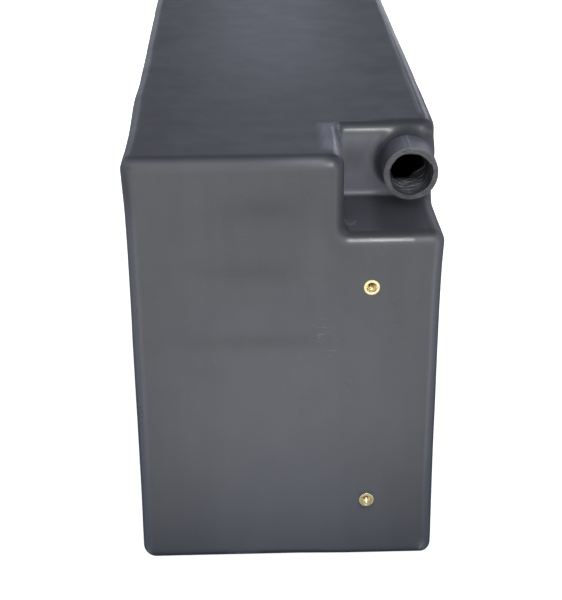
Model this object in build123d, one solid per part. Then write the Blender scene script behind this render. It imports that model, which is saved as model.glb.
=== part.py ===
from build123d import *
import math
import os

# A fresh water tank for a food truck: a rotomoulded polyethylene box with a fill
# spout in a recessed corner, two brass inserts in the filling end, and an outlet,
# a vent and a drain valve on the far end.
# Millimetres. Origin at the centre of the tank's underside, +Z up. The filling end
# is at -Y, and +X is to the right as seen from that end.

# Tank
TANK_WIDTH = 216.0
TANK_LENGTH = 760.0
TANK_HEIGHT = 320.0
WALL = 4.8
EDGE_RADIUS = 9.5
FRONT_Y = -TANK_LENGTH / 2
REAR_Y = TANK_LENGTH / 2
SIDE_X = TANK_WIDTH / 2

# Recess in the front top right corner
RECESS_WIDTH = 68.4
RECESS_DEPTH = 72.0
RECESS_HEIGHT = 55.2
RECESS_RADIUS = 5.0
PAST = 40.0

# Fill spout, sawn off square at its mouth, with a low shoulder that stops the hose
SPOUT_OUTER_R = 19.05
SPOUT_BORE_R = 14.6
SPOUT_X = SIDE_X - 19.6
SPOUT_Z = TANK_HEIGHT - 27.3
SPOUT_TIP_Y = FRONT_Y + 39.5
SPOUT_ROOT_R = 4.0
SPOUT_SHOULDER = 4.6
SPOUT_SHOULDER_R = 19.4

# Brass inserts for 1/4-20 bolts, moulded into the front wall
INSERT_X = SIDE_X - 48.8
INSERT_HEIGHTS = {"upper": 225.2, "lower": 51.1}
INSERT_RIM_R = 5.6
INSERT_RIM = 1.6
INSERT_HEX = 9.6
INSERT_LENGTH = 15.9
INSERT_BORE_R = 2.55
INSERT_BORE_DEPTH = 12.7
INSERT_MOUTH_R = 3.3
BOSS_COVER = 4.0

# Spin-welded fittings on the far end: place, then radii and lengths
LOW_Z = 36.0
OUTLET_X = 55.0
DRAIN_X = -50.0
VENT_X = -55.0
VENT_Z = 280.0
FLANGE = 4.0
HUB_LENGTH = 18.0
THREAD_LENGTH = 14.0
HALF_INCH_R = 10.4
THREE_EIGHTHS_R = 8.4
GRIP_FLATS = 12
GRIP_FLAT = 3.0
FLANGE_LAND = 14.5
HUB_WALL = 6.0
PORT_LAND = 2.6
THREAD_CHAMFER = 0.8

# Hose barbs
BARB_PITCH = 6.0
BARB_COUNT = 3
BARB_RIDGE = 1.0
HEX_LENGTH = 7.0
OUTLET_BORE_R = 5.2
OUTLET_TAIL_R = 7.3
OUTLET_HEX = 24.0
VENT_BORE_R = 3.8
VENT_TAIL_R = 5.6
VENT_HEX = 19.0
VENT_BEND = 31.0
VENT_LEG_R = 7.5
VENT_LEG = 9.0
SCREEN = 1.0
SCREEN_PITCH = 2.0
SCREEN_HOLE = 1.4

# Drain valve, laid out from the centre of its ball
BALL_Y = REAR_Y + 40.0
BALL_R = 10.2
PORT_R = 6.4
BODY_R = 15.5
BODY_HEX = 25.4
CHAMBER_R = 11.0
SEAT_BACK = 11.5
SEAT_FRONT = 6.5
SEAT_PORT_R = 6.6
CLEARANCE = 0.3
RUNNING = 0.05
BODY_END = 20.0
CAP_THREAD_R = 12.2
NECK_R = 9.5
NECK_TOP = 27.0
COLLAR_R = 6.0
COLLAR_TOP = 14.2
PACKING_R = 7.0
PACKING_LOW = 20.5
PACKING_TOP = 24.5
GLAND_HEX = 16.0
GLAND_TOP = 31.0
STEM_R = 4.0
TONGUE_WIDTH = 8.0
TONGUE_THICK = 3.2
TONGUE_LOW = 7.6
STEM_FLAT = 5.4
STEM_KEY_R = 3.5
STEM_THREAD_R = 2.5
STEM_TOP = 41.0

# Drain valve lever, which lies along +X when the valve is shut
LEVER_LOW = 32.0
LEVER_THICK = 2.5
LEVER_HUB_R = 13.0
LEVER_WIDTH = 14.0
LEVER_BEND_X = 14.0
LEVER_RISE = 7.0
LEVER_RISE_RUN = 9.0
LEVER_REACH = 88.0
GRIP_START = 34.0
GRIP_WALL = 1.6
NUT_HEX = 9.5
NUT_THICK = 5.0
LUG_ANGLE = 225.0
LUG_WIDTH = 4.0
LUG_NEAR = 9.8
LUG_FAR = 14.0
LUG_LOW = 8.0
STOP_SLACK = 2.0


def along_y(shape, x, y, z):
    """Turns a shape made along +Z to run along +Y, with its start at (x, y, z)."""
    return Pos(x, y, z) * Rot(-90, 0, 0) * shape


def turned(points):
    """Revolves a closed (radius, height) outline about Z."""
    face = make_face(Polyline(*[(r, 0, h) for r, h in points], close=True))
    return revolve(face, Axis.Z, 360)


def tube(outer, inner, low, high):
    """A straight tube about Z."""
    return turned([(inner, low), (outer, low), (outer, high), (inner, high)])


def rod(radius, low, high):
    """A cylinder about Z between two heights."""
    return Pos(0, 0, low) * Cylinder(radius, high - low, align=(Align.CENTER, Align.CENTER, Align.MIN))


def hex_bar(across, low, high):
    """A hexagonal bar about Z, given its width across flats, with its corners turned back."""
    corner = across / math.sqrt(3)
    relief = 0.35 * (corner - across / 2)
    bar = Pos(0, 0, low) * extrude(RegularPolygon(corner, 6), high - low)
    ends = [(0, low), (corner - relief, low), (corner, low + relief), (corner, high - relief)]
    return bar & turned(ends + [(corner - relief, high), (0, high)])


def recessed_box(inset):
    """The tank's outline moved inwards by inset, with every edge rounded to match."""
    corner = (
        SIDE_X - RECESS_WIDTH - inset, FRONT_Y + RECESS_DEPTH + inset, TANK_HEIGHT - RECESS_HEIGHT - inset
    )
    recess = Pos(corner) * Box(
        RECESS_WIDTH + PAST, RECESS_DEPTH + PAST, RECESS_HEIGHT + PAST, align=(Align.MIN, Align.MAX, Align.MIN)
    )
    corner_edges = [edge for edge in recess.edges() if edge.distance_to(Vector(corner)) < 0.001]
    recess = fillet(corner_edges, RECESS_RADIUS + inset)
    body = Pos(0, 0, TANK_HEIGHT / 2) * Box(
        TANK_WIDTH - 2 * inset, TANK_LENGTH - 2 * inset, TANK_HEIGHT - 2 * inset
    )
    body = body - recess
    creases = [edge for edge in body.edges() if is_outer_edge(edge, inset)]
    return fillet(creases, EDGE_RADIUS - inset)


def is_outer_edge(edge, inset):
    """True for an edge with two of its box faces, or one face and the recess, beside it."""
    middle = edge @ 0.5
    planes = (
        abs(abs(middle.X) - SIDE_X + inset) < 0.01,
        abs(abs(middle.Y) - REAR_Y + inset) < 0.01,
        abs(middle.Z - inset) < 0.01 or abs(middle.Z - TANK_HEIGHT + inset) < 0.01,
    )
    return any(planes)


def insert_outline(x, z):
    """The outside of a brass insert: a hexagonal body between two round rims."""
    body = hex_bar(INSERT_HEX, INSERT_RIM, INSERT_LENGTH - INSERT_RIM)
    front = rod(INSERT_RIM_R, 0, INSERT_RIM)
    back = rod(INSERT_RIM_R, INSERT_LENGTH - INSERT_RIM, INSERT_LENGTH)
    return along_y(front + body + back, x, FRONT_Y, z)


def insert(x, z):
    """A brass insert with a blind threaded hole and a countersunk mouth."""
    sink = INSERT_MOUTH_R - INSERT_BORE_R
    hole = turned([
        (0, 0), (INSERT_MOUTH_R, 0), (INSERT_BORE_R, sink), (INSERT_BORE_R, INSERT_BORE_DEPTH),
        (0, INSERT_BORE_DEPTH + INSERT_BORE_R / 2),
    ])
    return insert_outline(x, z) - along_y(hole, x, FRONT_Y, z)


def root_edges(shape):
    """The edges where the spout runs into the recess wall and its rounded corners."""
    found = []
    for edge in shape.edges():
        middle = edge @ 0.5
        radius = math.hypot(middle.X - SPOUT_X, middle.Z - SPOUT_Z)
        past_shoulder = middle.Y > FRONT_Y + RECESS_DEPTH - SPOUT_SHOULDER + 0.01
        on_spout = abs(radius - SPOUT_SHOULDER_R) < 0.01 and past_shoulder
        if on_spout and edge.geom_type != GeomType.LINE:
            found.append(edge)
    return found


def tank_shell():
    """The hollow moulding with its spout, the bosses round the inserts and the fitting holes."""
    outside = recessed_box(0)
    inside = recessed_box(WALL)
    spout_length = FRONT_Y + RECESS_DEPTH + EDGE_RADIUS - SPOUT_TIP_Y
    shoulder_start = FRONT_Y + RECESS_DEPTH - SPOUT_SHOULDER - SPOUT_TIP_Y
    spout = rod(SPOUT_OUTER_R, 0, spout_length) + rod(SPOUT_SHOULDER_R, shoulder_start, spout_length)
    spout = along_y(spout, SPOUT_X, SPOUT_TIP_Y, SPOUT_Z)
    bore = along_y(rod(SPOUT_BORE_R, 0, spout_length), SPOUT_X, SPOUT_TIP_Y, SPOUT_Z)
    outside = fillet(root_edges(outside + spout), SPOUT_ROOT_R)
    shell = outside - inside
    for z in INSERT_HEIGHTS.values():
        boss_length = INSERT_LENGTH + BOSS_COVER
        boss = fillet(
            rod(INSERT_RIM_R + BOSS_COVER, WALL / 2, boss_length).edges().sort_by(Axis.Z)[-1], BOSS_COVER
        )
        shell = shell + along_y(boss, INSERT_X, FRONT_Y, z)
    shell = shell - bore
    for z in INSERT_HEIGHTS.values():
        shell = shell - insert_outline(INSERT_X, z)
    for x, z, radius in ((OUTLET_X, LOW_Z, HALF_INCH_R), (DRAIN_X, LOW_Z, HALF_INCH_R),
                         (VENT_X, VENT_Z, THREE_EIGHTHS_R)):
        shell = shell - along_y(rod(radius, -WALL, WALL), x, REAR_Y - WALL / 2, z)
    return shell


def weld_fitting(x, z, thread_r):
    """A spin-welded fitting: a pilot in the wall, a flange, and a gripped hub with a thread."""
    flange_r = thread_r + FLANGE_LAND
    hub_r = thread_r + HUB_WALL
    port_r = thread_r - PORT_LAND
    step = HUB_LENGTH - THREAD_LENGTH
    shape = turned([
        (port_r, -WALL), (thread_r, -WALL), (thread_r, 0), (flange_r - 1, 0), (flange_r, 1),
        (flange_r, FLANGE - 1), (flange_r - 1, FLANGE), (hub_r, FLANGE), (hub_r, HUB_LENGTH - 1),
        (hub_r - 1, HUB_LENGTH), (thread_r + THREAD_CHAMFER, HUB_LENGTH),
        (thread_r, HUB_LENGTH - THREAD_CHAMFER),
        (thread_r, step), (port_r, step),
    ])
    flat = Pos(0, 0, (FLANGE + HUB_LENGTH) / 2 + 1) * Box(GRIP_FLAT, GRIP_FLAT, HUB_LENGTH - FLANGE)
    for turn in range(GRIP_FLATS):
        shape = shape - Rot(0, 0, 360 / GRIP_FLATS * turn) * Pos(hub_r + 0.6, 0, 0) * flat
    return along_y(shape, x, REAR_Y, z)


def barb_outline(barb_r, bore_r, start):
    """The (radius, height) outline of a ridged hose tail that starts at a height."""
    neck_r = barb_r - BARB_RIDGE
    points = [(bore_r, start), (neck_r, start), (neck_r, start + BARB_PITCH / 2)]
    for ridge in range(BARB_COUNT):
        low = start + BARB_PITCH * (ridge + 0.5)
        points += [(barb_r, low), (barb_r, low + 0.8), (neck_r, low + BARB_PITCH - 0.2)]
    top = start + BARB_PITCH * (BARB_COUNT + 0.5)
    return points + [(barb_r - 1.6, top), (bore_r, top)]


def outlet_barb():
    """A straight nylon hose tail screwed into the outlet."""
    tail_start = THREAD_LENGTH + HEX_LENGTH
    shape = rod(HALF_INCH_R, 0, THREAD_LENGTH)
    shape = shape + hex_bar(OUTLET_HEX, THREAD_LENGTH, tail_start)
    shape = shape - rod(OUTLET_BORE_R, 0, tail_start)
    shape = shape + turned(barb_outline(OUTLET_TAIL_R, OUTLET_BORE_R, tail_start))
    return along_y(shape, OUTLET_X, REAR_Y + HUB_LENGTH - THREAD_LENGTH, LOW_Z)


def vent_elbow():
    """A nylon elbow screwed into the vent, with its hose tail turned up."""
    leg = rod(THREE_EIGHTHS_R, SCREEN, THREAD_LENGTH)
    leg = leg + hex_bar(VENT_HEX, THREAD_LENGTH, THREAD_LENGTH + HEX_LENGTH)
    leg = leg + rod(VENT_LEG_R, THREAD_LENGTH, VENT_BEND)
    leg = leg + Pos(0, 0, VENT_BEND) * Sphere(VENT_LEG_R)
    leg = along_y(leg, 0, 0, 0)
    tail = rod(VENT_LEG_R, 0, VENT_LEG) + turned(barb_outline(VENT_TAIL_R, 0, VENT_LEG))
    tail = Pos(0, VENT_BEND, 0) * tail
    bores = Pos(0, VENT_BEND, 0) * (Sphere(VENT_BORE_R) + rod(VENT_BORE_R, 0, PAST))
    bores = bores + along_y(rod(VENT_BORE_R, 0, VENT_BEND), 0, 0, 0)
    shape = leg + tail - bores
    return Pos(VENT_X, REAR_Y + HUB_LENGTH - THREAD_LENGTH, VENT_Z) * shape


def vent_screen():
    """A fine stainless screen that keeps insects out, held between elbow and fitting."""
    shape = rod(THREE_EIGHTHS_R, 0, SCREEN)
    hole = Box(SCREEN_HOLE, SCREEN_HOLE, 3 * SCREEN)
    reach = THREE_EIGHTHS_R - PORT_LAND
    steps = int(reach / SCREEN_PITCH)
    rows = [SCREEN_PITCH * step for step in range(-steps, steps + 1)]
    for x in rows:
        for y in rows:
            if math.hypot(x, y) < reach - SCREEN_HOLE / 2:
                shape = shape - Pos(x, y, SCREEN / 2) * hole
    return along_y(shape, VENT_X, REAR_Y + HUB_LENGTH - THREAD_LENGTH, VENT_Z)


def at_ball(shape):
    """Places a valve piece made about the ball's centre, with its stem along +Z."""
    return Pos(DRAIN_X, BALL_Y, LOW_Z) * shape


def flow(shape):
    """Turns a valve piece made about Z so that it lies along the flow, towards +Y."""
    return Rot(-90, 0, 0) * shape


def valve_body():
    """The brass body: a male thread, a hexagon, the ball chamber, the neck and the stop lug."""
    hub_face = REAR_Y + HUB_LENGTH - BALL_Y
    start = hub_face - THREAD_LENGTH
    outer = rod(HALF_INCH_R, start, hub_face) + hex_bar(BODY_HEX, hub_face, hub_face + 10)
    outer = outer + turned([
        (0, hub_face + 8), (BODY_R - 3, hub_face + 8), (BODY_R, hub_face + 11), (BODY_R, BODY_END - 1.5),
        (BODY_R - 1.5, BODY_END), (0, BODY_END),
    ])
    neck = rod(NECK_R, 0, NECK_TOP)
    lug = Rot(0, 0, LUG_ANGLE) * Pos((LUG_NEAR + LUG_FAR) / 2, 0, (LUG_LOW + LEVER_LOW + LEVER_THICK) / 2) * Box(
        LUG_FAR - LUG_NEAR, LUG_WIDTH, LEVER_LOW + LEVER_THICK - LUG_LOW
    )
    ways = rod(PORT_R, start, 0) + rod(CHAMBER_R, -SEAT_BACK, SEAT_BACK) + rod(CAP_THREAD_R, SEAT_BACK, BODY_END)
    stem_ways = rod(COLLAR_R + CLEARANCE, 0, COLLAR_TOP + CLEARANCE)
    stem_ways = stem_ways + rod(STEM_R + RUNNING, 0, NECK_TOP) + rod(PACKING_R, PACKING_LOW, NECK_TOP)
    return at_ball(flow(outer) + neck + lug - flow(ways) - stem_ways)


def valve_end_piece():
    """The brass end that screws into the body behind the outer seat and carries a hose tail."""
    shape = tube(CAP_THREAD_R, PORT_R, SEAT_BACK, BODY_END)
    shape = shape + (hex_bar(BODY_HEX, BODY_END, BODY_END + HEX_LENGTH) - rod(PORT_R, 0, 40))
    shape = shape + turned(barb_outline(8.4, PORT_R - 0.4, BODY_END + HEX_LENGTH))
    return at_ball(flow(shape))


def seat(side):
    """A seat ring with a hollow face that the ball turns against; side is -1 or 1."""
    ring = tube(CHAMBER_R, SEAT_PORT_R, SEAT_FRONT, SEAT_BACK) - Sphere(BALL_R + CLEARANCE)
    return at_ball(Rot(90 if side < 0 else -90, 0, 0) * ring)


def valve_ball():
    """The bored ball, turned across the flow, with a slot in its top for the stem's tongue."""
    ball = Sphere(BALL_R) - Rot(0, 90, 0) * rod(PORT_R, -BALL_R, BALL_R)
    slot = Pos(0, 0, TONGUE_LOW + BALL_R / 2) * Box(TONGUE_THICK, 2 * BALL_R, BALL_R)
    return at_ball(ball - slot)


def valve_stem():
    """The stem: a tongue, a collar that keeps it in, a shank, a keyed seat and a thread."""
    tongue = Pos(0, 0, (TONGUE_LOW + BALL_R + 1) / 2) * Box(
        TONGUE_THICK, TONGUE_WIDTH, BALL_R + 1 - TONGUE_LOW
    )
    collar = rod(COLLAR_R, BALL_R + CLEARANCE, COLLAR_TOP)
    shank = rod(STEM_R, COLLAR_TOP, LEVER_LOW)
    return at_ball(tongue + collar + shank + stem_key() + rod(STEM_THREAD_R, LEVER_LOW, STEM_TOP))


def stem_key():
    """The stem's two-sided key, which the lever sits on."""
    return rod(STEM_KEY_R, LEVER_LOW, LEVER_LOW + LEVER_THICK) & Pos(0, 0, LEVER_LOW) * Box(
        STEM_FLAT, 4 * STEM_KEY_R, 4 * LEVER_THICK
    )


def stem_packing():
    """The packing ring round the stem."""
    return at_ball(tube(PACKING_R, STEM_R + RUNNING, PACKING_LOW, PACKING_TOP))


def gland_nut():
    """The nut that screws into the neck and presses on the packing."""
    shape = rod(PACKING_R, PACKING_TOP, NECK_TOP) + hex_bar(GLAND_HEX, NECK_TOP, GLAND_TOP)
    return at_ball(shape - rod(STEM_R + RUNNING, 0, GLAND_TOP))


def lever_arm(start, wall):
    """The lever's arm from a distance out, thickened by a wall on every side but its start."""
    low = LEVER_LOW + LEVER_RISE - wall
    high = LEVER_LOW + LEVER_RISE + LEVER_THICK + wall
    reach = LEVER_REACH + wall
    width = LEVER_WIDTH + 2 * wall
    bar = Pos((start + reach) / 2, 0, (low + high) / 2) * Box(reach - start, width, high - low)
    return fillet(bar.edges().filter_by(Axis.Z).group_by(Axis.X)[-1], width / 2 - 0.1)


def valve_lever():
    """The stamped lever: a hub cut away for the stop lug, a bend up, and a flat arm."""
    hub = rod(LEVER_HUB_R, LEVER_LOW, LEVER_LOW + LEVER_THICK)
    sweep = 90 + 2 * STOP_SLACK + 2 * math.degrees(math.atan2(LUG_WIDTH / 2, LUG_NEAR))
    first = LUG_ANGLE - 90 - (sweep - 90) / 2
    rim = [(LUG_NEAR - 0.6, 0), (4 * LUG_FAR, 0)]
    corners = [rotated(point, first) for point in rim] + [rotated(rim[1], first + sweep / 2)]
    corners = corners + [rotated(point, first + sweep) for point in reversed(rim)]
    gap = Pos(0, 0, LEVER_LOW - 1) * extrude(make_face(Polyline(*corners, close=True)), LEVER_THICK + 2)
    neck = Pos(LEVER_BEND_X / 2, 0, LEVER_LOW + LEVER_THICK / 2) * Box(LEVER_BEND_X, LEVER_WIDTH, LEVER_THICK)
    end_x = LEVER_BEND_X + LEVER_RISE_RUN
    low = LEVER_LOW
    high = LEVER_LOW + LEVER_RISE
    side = [(LEVER_BEND_X - 1, low), (LEVER_BEND_X, low), (end_x, high), (end_x + 1, high)]
    side = side + [(x, z + LEVER_THICK) for x, z in reversed(side)]
    bend = extrude(Plane.XZ * make_face(Polyline(*side, close=True)), LEVER_WIDTH / 2, both=True)
    shape = hub - gap + neck + bend + lever_arm(end_x, 0)
    return at_ball(shape - stem_key())


def rotated(point, angle):
    """A point turned about the origin by an angle in degrees."""
    turn = math.radians(angle)
    x, y = point
    return (x * math.cos(turn) - y * math.sin(turn), x * math.sin(turn) + y * math.cos(turn))


def lever_grip():
    """The vinyl sleeve dipped over the end of the lever."""
    return at_ball(lever_arm(GRIP_START, GRIP_WALL) - lever_arm(GRIP_START - 1, 0))


def lever_nut():
    """The nut that holds the lever on the stem."""
    low = LEVER_LOW + LEVER_THICK
    return at_ball(hex_bar(NUT_HEX, low, low + NUT_THICK) - rod(STEM_THREAD_R, low, STEM_TOP))


nodes = {
    "tank_shell": tank_shell(),
    "outlet_fitting": weld_fitting(OUTLET_X, LOW_Z, HALF_INCH_R),
    "outlet_barb": outlet_barb(),
    "drain_fitting": weld_fitting(DRAIN_X, LOW_Z, HALF_INCH_R),
    "vent_fitting": weld_fitting(VENT_X, VENT_Z, THREE_EIGHTHS_R),
    "vent_elbow": vent_elbow(),
    "vent_screen": vent_screen(),
    "valve_body": valve_body(),
    "valve_end_piece": valve_end_piece(),
    "seat_inner": seat(-1),
    "seat_outer": seat(1),
    "valve_ball": valve_ball(),
    "valve_stem": valve_stem(),
    "stem_packing": stem_packing(),
    "gland_nut": gland_nut(),
    "valve_lever": valve_lever(),
    "lever_grip": lever_grip(),
    "lever_nut": lever_nut(),
}
for place, height in INSERT_HEIGHTS.items():
    nodes["front_insert_" + place] = insert(INSERT_X, height)

os.makedirs("parts", exist_ok=True)
for name, shape in nodes.items():
    export_step(shape, "parts/" + name + ".step")
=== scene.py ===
import math

import bpy
import numpy as np
from mathutils import Euler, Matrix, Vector


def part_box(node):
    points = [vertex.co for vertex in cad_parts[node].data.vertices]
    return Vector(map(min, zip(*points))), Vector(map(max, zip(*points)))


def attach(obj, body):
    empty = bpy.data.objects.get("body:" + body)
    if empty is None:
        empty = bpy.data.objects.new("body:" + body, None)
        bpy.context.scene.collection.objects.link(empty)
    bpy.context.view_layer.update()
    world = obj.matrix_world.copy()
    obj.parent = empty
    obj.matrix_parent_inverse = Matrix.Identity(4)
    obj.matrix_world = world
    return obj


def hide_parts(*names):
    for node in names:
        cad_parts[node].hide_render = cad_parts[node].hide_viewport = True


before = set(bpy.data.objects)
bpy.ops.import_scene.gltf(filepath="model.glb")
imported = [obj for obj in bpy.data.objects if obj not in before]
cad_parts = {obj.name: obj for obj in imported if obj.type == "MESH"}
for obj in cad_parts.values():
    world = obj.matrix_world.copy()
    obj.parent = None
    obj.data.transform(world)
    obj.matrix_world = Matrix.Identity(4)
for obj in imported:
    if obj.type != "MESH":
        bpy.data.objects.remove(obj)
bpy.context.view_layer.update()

# Metres, in the CAD model's frame: the filling end faces -Y, +Z is up.

# ---------------------------------------------------------------- the shell's shape

SHELL_LOW, SHELL_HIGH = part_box("tank_shell")
SIDE, FRONT, REAR, TOP = SHELL_HIGH.x, SHELL_LOW.y, SHELL_HIGH.y, SHELL_HIGH.z
WALL = 0.0048
EDGE_R = 0.0095
TIGHTER = 0.0015
RECESS_WIDTH, RECESS_DEPTH, RECESS_HEIGHT = 0.0684, 0.0720, 0.0552
RECESS_R = 0.005
RECESS_X, RECESS_Y, RECESS_Z = SIDE - RECESS_WIDTH, FRONT + RECESS_DEPTH, TOP - RECESS_HEIGHT
SPOUT_R, BORE_R = 0.01905, 0.0146
SPOUT_X, SPOUT_Z = SIDE - 0.0196, TOP - 0.0273
SPOUT_TIP = FRONT + 0.0395
SPOUT_BLEND = 0.0055
BORE_BLEND = 0.003
LIP = 0.0007
PAST_TIP = 0.008
PARTING_X = SIDE - 0.0085
NECK_LINE_X = SPOUT_X - 0.0008
NECK_END = RECESS_Y - 0.006
INSERT_X = SIDE - 0.0488
INSERT_HEIGHTS = {"front_insert_upper": 0.2252, "front_insert_lower": 0.0511}
INSERT_HOLE_R = 0.00568
# (node, x, z, radius of its hole in the shell)
FITTINGS = (
    ("outlet_fitting", 0.055, 0.036, 0.0104),
    ("drain_fitting", -0.050, 0.036, 0.0104),
    ("vent_fitting", -0.055, 0.280, 0.0084),
)
HOLES = [(INSERT_X, FRONT, z, INSERT_HOLE_R) for z in INSERT_HEIGHTS.values()]
HOLES += [(x, REAR, z, r) for _, x, z, r in FITTINGS]
# Edges that bend by more than this stay crisp under smooth shading.
SHARP_ANGLE = math.radians(34)


def intersect_round(a, b, r):
    """The shape inside both fields, with the edge where they meet rounded to radius r."""
    return np.minimum(-r, np.maximum(a, b)) + np.hypot(np.maximum(a + r, 0), np.maximum(b + r, 0))


def union_round(a, b, r):
    """The shape inside either field, with the crease where they meet filled to radius r."""
    return np.maximum(r, np.minimum(a, b)) - np.hypot(np.maximum(r - a, 0), np.maximum(r - b, 0))


def block(x, y, z, inset):
    """Distance to the rounded box, moved inwards by inset. Its lower right edges are a little tighter."""
    tight = ramp(-z, -0.030, -0.014) * ramp(x, 0, 0.05)
    r = EDGE_R - inset - TIGHTER * tight
    past = [
        np.abs(x) - (SIDE - inset - r),
        np.abs(y) - (REAR - inset - r),
        np.abs(z - TOP / 2) - (TOP / 2 - inset - r),
    ]
    outside = np.sqrt(sum(np.maximum(p, 0) ** 2 for p in past))
    return outside + np.minimum(np.maximum(np.maximum(past[0], past[1]), past[2]), 0) - r


def recess(x, y, z, inset):
    """Distance to the corner that is cut out, grown by inset, with its inner edges rounded."""
    r = RECESS_R + inset
    past = [RECESS_X - inset - x + r, y - RECESS_Y - inset + r, RECESS_Z - inset - z + r]
    outside = np.sqrt(sum(np.maximum(p, 0) ** 2 for p in past))
    return outside + np.minimum(np.maximum(np.maximum(past[0], past[1]), past[2]), 0) - r


def tube(x, y, z, r, end):
    """Distance to a round bar on the spout's axis, from past the spout's tip to y = end."""
    start = SPOUT_TIP - PAST_TIP
    beside = np.hypot(x - SPOUT_X, z - SPOUT_Z) - r
    return np.maximum(beside, np.abs(y - (start + end) / 2) - (end - start) / 2)


def outer_field(x, y, z):
    """Distance to the tank's outer surface, with its spout left too long."""
    body = intersect_round(block(x, y, z, 0), -recess(x, y, z, 0), EDGE_R)
    return union_round(body, tube(x, y, z, SPOUT_R, RECESS_Y + 1.5 * EDGE_R), SPOUT_BLEND)


def inner_field(x, y, z):
    """Distance to the water space and the spout's bore, which is left too long as well."""
    body = intersect_round(block(x, y, z, WALL), -recess(x, y, z, WALL), EDGE_R - WALL)
    return union_round(body, tube(x, y, z, BORE_R, RECESS_Y + 2 * WALL), BORE_BLEND)


def grid_lines(low, high, zones, coarse):
    """Grid positions from low to high: as fine as a zone (from, to, step) says, and coarser away from it."""
    growth = 0.3
    at = [low]
    while at[-1] < high:
        steps = [step + growth * max(start - at[-1], at[-1] - end, 0.0) for start, end, step in zones]
        at.append(at[-1] + min(steps + [coarse]))
    return np.array(at)


def crossings(values, grid, axis):
    """Where the field changes sign along one axis: a mask, and the crossing points."""
    low = np.take(values, range(values.shape[axis] - 1), axis)
    high = np.take(values, range(1, values.shape[axis]), axis)
    mask = (low < 0) != (high < 0)
    share = np.where(mask, low / np.where(mask, low - high, 1), 0)
    shape = [1, 1, 1]
    shape[axis] = -1
    points = []
    for k in range(3):
        line = grid[k] if k != axis else grid[k][:-1]
        form = [1, 1, 1]
        form[k] = -1
        place = np.broadcast_to(line.reshape(form), mask.shape)
        if k == axis:
            place = place + share * np.diff(grid[k]).reshape(shape)
        points.append(place)
    return mask, low < 0, points


def surface_net(field, grid):
    """A quad mesh on a field's zero surface: (vertices, quads, each vertex's cell)."""
    values = field(*np.meshgrid(*grid, indexing="ij"))
    cells = tuple(n - 1 for n in values.shape)
    total, count = np.zeros(cells + (3,)), np.zeros(cells)
    found = [crossings(values, grid, axis) for axis in range(3)]
    for axis, (mask, _, points) in enumerate(found):
        b, c = [k for k in range(3) if k != axis]
        for db in (0, 1):
            for dc in (0, 1):
                cut = [slice(None)] * 3
                cut[b] = slice(db, cells[b] + db)
                cut[c] = slice(dc, cells[c] + dc)
                here = mask[tuple(cut)]
                count += here
                for k in range(3):
                    total[..., k] += np.where(here, points[k][tuple(cut)], 0)
    used = count > 0
    number = np.full(cells, -1)
    number[used] = np.arange(used.sum())
    vertices = total[used] / count[used][:, None]
    quads = []
    for axis, (mask, low_inside, _) in enumerate(found):
        b, c = (axis + 1) % 3, (axis + 2) % 3
        at = np.argwhere(mask)
        inside = low_inside[tuple(at.T)]
        ring = []
        for db, dc in ((1, 1), (0, 1), (0, 0), (1, 0)):
            cell = at.copy()
            cell[:, b] -= db
            cell[:, c] -= dc
            ring.append(number[tuple(cell.T)])
        ring = np.stack(ring, 1)
        quads.append(np.where(inside[:, None], ring, ring[:, ::-1]))
    return vertices, np.concatenate(quads), np.argwhere(used)


def slope(field, points, h=2e-6):
    """The field's gradient at some points."""
    parts = []
    for k in range(3):
        step = np.zeros(3)
        step[k] = h
        parts.append((field(*(points + step).T) - field(*(points - step).T)) / (2 * h))
    return np.stack(parts, 1)


def settle(field, points, rounds=4):
    """Moves points straight onto the field's zero surface."""
    for _ in range(rounds):
        gradient = slope(field, points)
        size = np.maximum((gradient**2).sum(1), 0.05)
        points = points - np.clip(field(*points.T) / size, -0.004, 0.004)[:, None] * gradient
    return points


def open_spout(vertices, quads, cells):
    """Saws the spout off at its tip. Returns the mesh and the cut loop, in order of angle."""
    radius = np.hypot(vertices[:, 0] - SPOUT_X, vertices[:, 2] - SPOUT_Z)
    on_spout = (radius < SPOUT_R + 0.002) & (vertices[:, 1] < RECESS_Y - 0.012)
    last = cells[on_spout & (vertices[:, 1] > SPOUT_TIP + 1.5 * LIP), 1].min()
    gone = on_spout & (cells[:, 1] < last)
    loop = np.flatnonzero(on_spout & (cells[:, 1] == last))
    quads = quads[~gone[quads].any(1)]
    angle = np.arctan2(vertices[loop, 2] - SPOUT_Z, vertices[loop, 0] - SPOUT_X)
    return quads, loop[np.argsort(angle)]


def drop_unused(vertices, faces, loop):
    """Leaves out the vertices that no face uses."""
    used = np.zeros(len(vertices), bool)
    used[faces.ravel()] = True
    number = np.cumsum(used) - 1
    return vertices[used], number[faces], number[loop]


def zip_loops(points, a, b):
    """Triangles between two closed loops that are both in order of angle about the spout."""
    def angles(loop):
        return np.unwrap(np.arctan2(points[loop, 2] - SPOUT_Z, points[loop, 0] - SPOUT_X))

    start = np.argmin(np.abs(np.angle(np.exp(1j * (angles(b) - angles(a)[0])))))
    b = np.roll(b, -start)
    turn_a, turn_b = angles(a), angles(b)
    turn_b += 2 * np.pi * np.round((turn_a[0] - turn_b[0]) / (2 * np.pi))
    turn_a = np.append(turn_a, turn_a[0] + 2 * np.pi)
    turn_b = np.append(turn_b, turn_b[0] + 2 * np.pi)
    i = j = 0
    faces = []
    while i < len(a) or j < len(b):
        if j == len(b) or (i < len(a) and turn_a[i + 1] <= turn_b[j + 1]):
            faces.append((a[i], a[(i + 1) % len(a)], b[j % len(b)]))
            i += 1
        else:
            faces.append((a[i % len(a)], b[(j + 1) % len(b)], b[j]))
            j += 1
    return np.array(faces)


def bump(value, centre, width):
    """1 at the centre, falling smoothly to 0 over a few widths."""
    return np.exp(-(((value - centre) / width) ** 2))


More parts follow.
